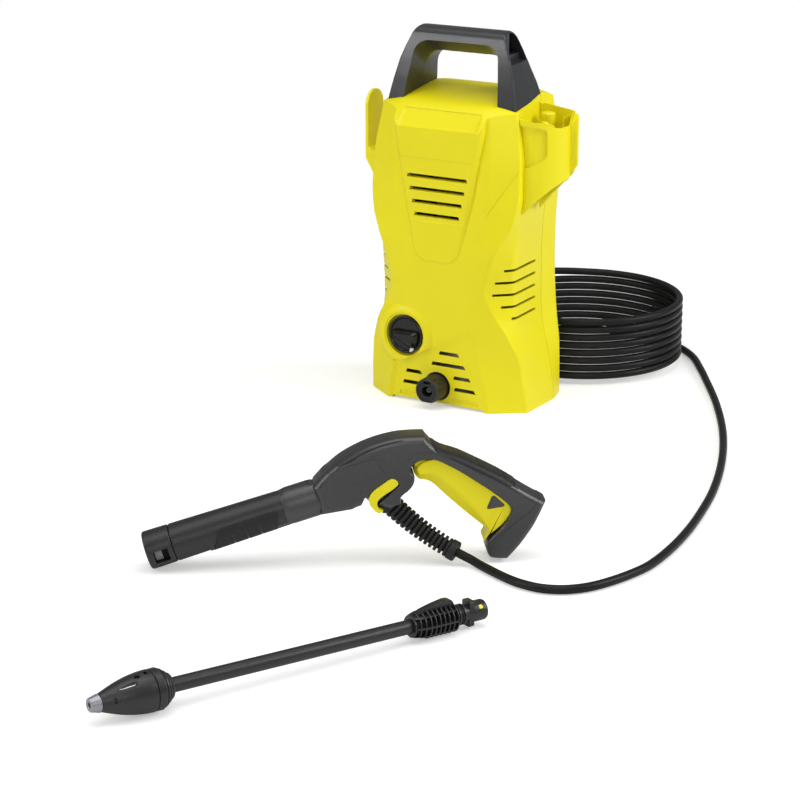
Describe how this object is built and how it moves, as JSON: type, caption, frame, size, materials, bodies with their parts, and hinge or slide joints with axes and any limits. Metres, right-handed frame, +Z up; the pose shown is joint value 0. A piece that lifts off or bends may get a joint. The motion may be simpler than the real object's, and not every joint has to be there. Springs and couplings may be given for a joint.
{
  "type": "pressure washer",
  "caption": "Compact upright pressure washer with carry handle, trigger gun with ribbed hose sleeve, coiled high-pressure hose and a separate spray lance with a round nozzle.",
  "frame": {"origin": "middle of the box round the washer, its gun and its lance, without the hose, on the floor they stand on", "axes": "+Z up, -Y the way the washer's front faces, +X the washer's right side with the gun holster"},
  "size_m": [0.5857, 1.3206, 0.4415],
  "materials": {
    "yellow_plastic": "smooth satin moulding",
    "dark_grey_plastic": "fine matte grain",
    "black_plastic": "fine matte grain",
    "gloss_black_plastic": "polished",
    "black_rubber": "dull",
    "brass": "machined",
    "steel": "machined",
    "cast_aluminium": "cast",
    "copper_winding": "lacquered wire",
    "grey_plastic": "matte"
  },
  "bodies": {
    "washer": {"lance_socket_ring": "black_plastic", "barrel_front": "black_plastic", "gun_barrel": "black_plastic", "gun_pipe": "brass", "gun_right_shell": "dark_grey_plastic", "gun_left_shell": "dark_grey_plastic", "trigger_pin": "steel", "gun_valve": "brass", "hose_coupling": "brass", "front_housing": "yellow_plastic", "rear_housing": "yellow_plastic", "housing_screw_1": "steel", "housing_screw_2": "steel", "housing_screw_3": "steel", "housing_screw_4": "steel", "housing_screw_5": "steel", "housing_screw_6": "steel", "carry_handle": "dark_grey_plastic", "gun_holster": "yellow_plastic", "cable_hook": "yellow_plastic", "switch_body": "black_plastic", "outlet_socket": "dark_grey_plastic", "outlet_ring": "black_plastic", "pump_head": "cast_aluminium", "cylinder_block": "brass", "gear_case": "cast_aluminium", "motor_stator": "steel", "brush_holder_left": "brass", "brush_holder_right": "brass", "motor_end_bracket": "black_plastic", "capacitor": "grey_plastic", "pressure_switch": "black_plastic", "water_inlet": "dark_grey_plastic", "inlet_sieve": "grey_plastic", "cable_gland": "black_rubber", "bend_protector": "black_rubber", "hose_coil": "black_rubber", "hose_free": "black_rubber", "hose_connector": "brass"},
    "knob": {"switch_knob": "gloss_black_plastic"},
    "rotor": {"motor_armature": "copper_winding", "cooling_fan": "black_plastic", "motor_pinion": "steel"},
    "drive": {"swash_plate": "steel", "drive_gear": "steel"},
    "piston_a": {"piston_1": "steel"},
    "piston_b": {"piston_2": "steel"},
    "piston_c": {"piston_3": "steel"},
    "trigger": {"gun_trigger": "yellow_plastic"},
    "lock": {"trigger_lock": "dark_grey_plastic"},
    "clip": {"hose_clip": "yellow_plastic"},
    "lance": {"lance_tube": "black_plastic", "lance_grip": "black_plastic", "lance_bayonet": "black_plastic", "lance_o_ring": "black_rubber", "nozzle_body": "black_plastic", "nozzle_tip": "grey_plastic", "nozzle_collar": "black_plastic"},
    "spray_rotor": {"nozzle_rotor": "brass"}
  },
  "joints": [
    {"name": "switch_turn", "type": "hinge", "parent": "washer", "child": "knob", "pos_m": [-0.17019, 0.3948, 0.0807], "axis": [0, -1, 0], "range_deg": [0, 90]},
    {"name": "rotor_spin", "type": "hinge", "parent": "washer", "child": "rotor", "pos_m": [-0.12119, 0.4688, 0.134], "axis": [0, 0, 1], "continuous": true},
    {"name": "drive_spin", "type": "hinge", "parent": "washer", "child": "drive", "pos_m": [-0.12119, 0.44479, 0.108], "axis": [0, 0, 1], "continuous": true},
    {"name": "piston_a_stroke", "type": "slide", "parent": "washer", "child": "piston_a", "axis": [0, 0, 1], "range_m": [-0.0066, 0], "stiffness_N_per_m": 900, "springref_m": 0.004},
    {"name": "piston_b_stroke", "type": "slide", "parent": "washer", "child": "piston_b", "axis": [0, 0, 1], "range_m": [-0.0066, 0], "stiffness_N_per_m": 900, "springref_m": 0.004},
    {"name": "piston_c_stroke", "type": "slide", "parent": "washer", "child": "piston_c", "axis": [0, 0, 1], "range_m": [-0.0066, 0], "stiffness_N_per_m": 900, "springref_m": 0.004},
    {"name": "trigger_squeeze", "type": "hinge", "parent": "washer", "child": "trigger", "pos_m": [0.11586, -0.05994, 0.114], "axis": [0.6018, -0.7986, 0], "range_deg": [0, 9], "stiffness_Nm_per_rad": 0.6, "springref_deg": -22.92},
    {"name": "lock_push", "type": "slide", "parent": "trigger", "child": "lock", "axis": [-0.6018, 0.7986, 0], "range_m": [0, 0.003]},
    {"name": "clip_slide", "type": "slide", "parent": "washer", "child": "clip", "axis": [-0.5841, -0.4401, -0.682], "range_m": [0, 0.009]},
    {"name": "lance_lift", "type": "slide", "parent": "washer", "child": "lance", "axis": [0, 0, 1], "range_m": [0, 0.15]},
    {"name": "spray_rotor_spin", "type": "hinge", "parent": "lance", "child": "spray_rotor", "pos_m": [0.09415, -0.50895, 0.01938], "axis": [0.4178, 0.9084, -0.014], "continuous": true}
  ],
  "couplings": [
    {"joint": "drive_spin", "follows": "rotor_spin", "ratio": -0.33333}
  ]
}
